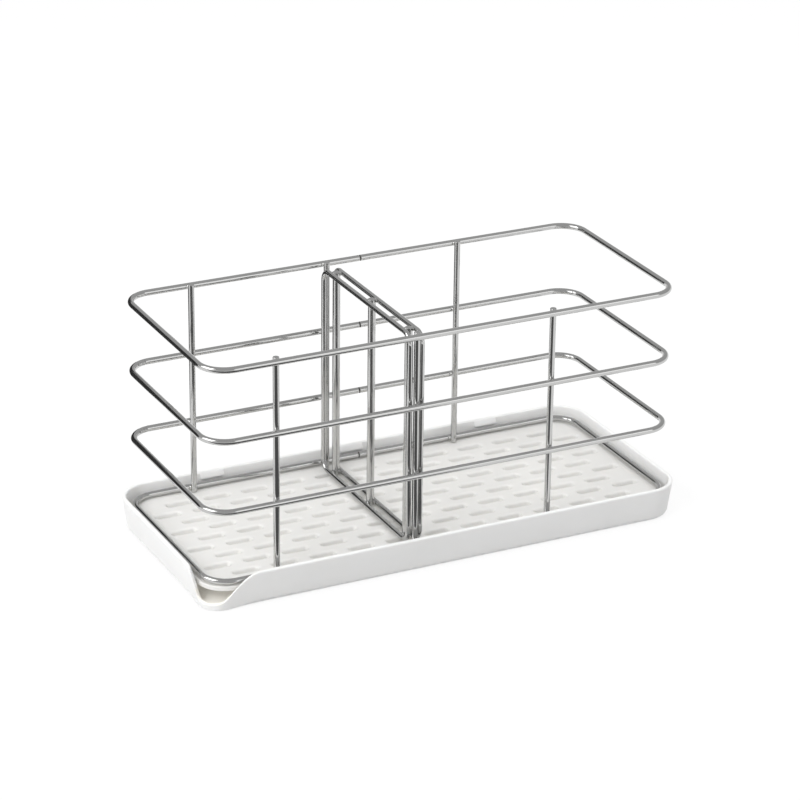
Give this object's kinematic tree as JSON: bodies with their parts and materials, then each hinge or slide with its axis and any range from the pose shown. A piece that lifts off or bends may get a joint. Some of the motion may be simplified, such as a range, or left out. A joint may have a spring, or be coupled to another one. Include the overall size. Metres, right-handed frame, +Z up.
{
  "type": "kitchen sink caddy",
  "caption": "Free-standing kitchen sink caddy: open welded wire basket with a lift-out wire divider, on a slotted drain plate in a shallow white drip tray with a corner pouring spout.",
  "frame": {"origin": "middle of the tray's underside, where it rests on the worktop", "axes": "+X along the length to the right, +Y to the back, +Z up"},
  "size_m": [0.254, 0.114, 0.1189],
  "materials": {
    "tray_plastic": "satin white",
    "plate_plastic": "gloss white",
    "steel_wire": "polished stainless wire"
  },
  "bodies": {
    "tray": {"drip_tray": "tray_plastic"},
    "plate": {"drain_plate": "plate_plastic"},
    "basket": {"bottom_ring": "steel_wire", "lower_ring": "steel_wire", "upper_ring": "steel_wire", "top_ring": "steel_wire", "front_left_upright": "steel_wire", "front_middle_upright": "steel_wire", "front_right_upright": "steel_wire", "back_left_upright": "steel_wire", "back_middle_upright": "steel_wire", "back_right_upright": "steel_wire"},
    "divider": {"divider_left_loop": "steel_wire", "divider_right_loop": "steel_wire", "divider_front_bar": "steel_wire", "divider_centre_bar": "steel_wire", "divider_back_bar": "steel_wire"}
  },
  "joints": [
    {"name": "plate_lift", "type": "slide", "parent": "tray", "child": "plate", "axis": [0, 0, 1], "range_m": [0, 0.03]},
    {"name": "basket_lift", "type": "slide", "parent": "plate", "child": "basket", "axis": [0, 0, 1], "range_m": [0, 0.06]},
    {"name": "divider_lift", "type": "slide", "parent": "basket", "child": "divider", "axis": [0, 0, 1], "range_m": [0, 0.115]}
  ]
}
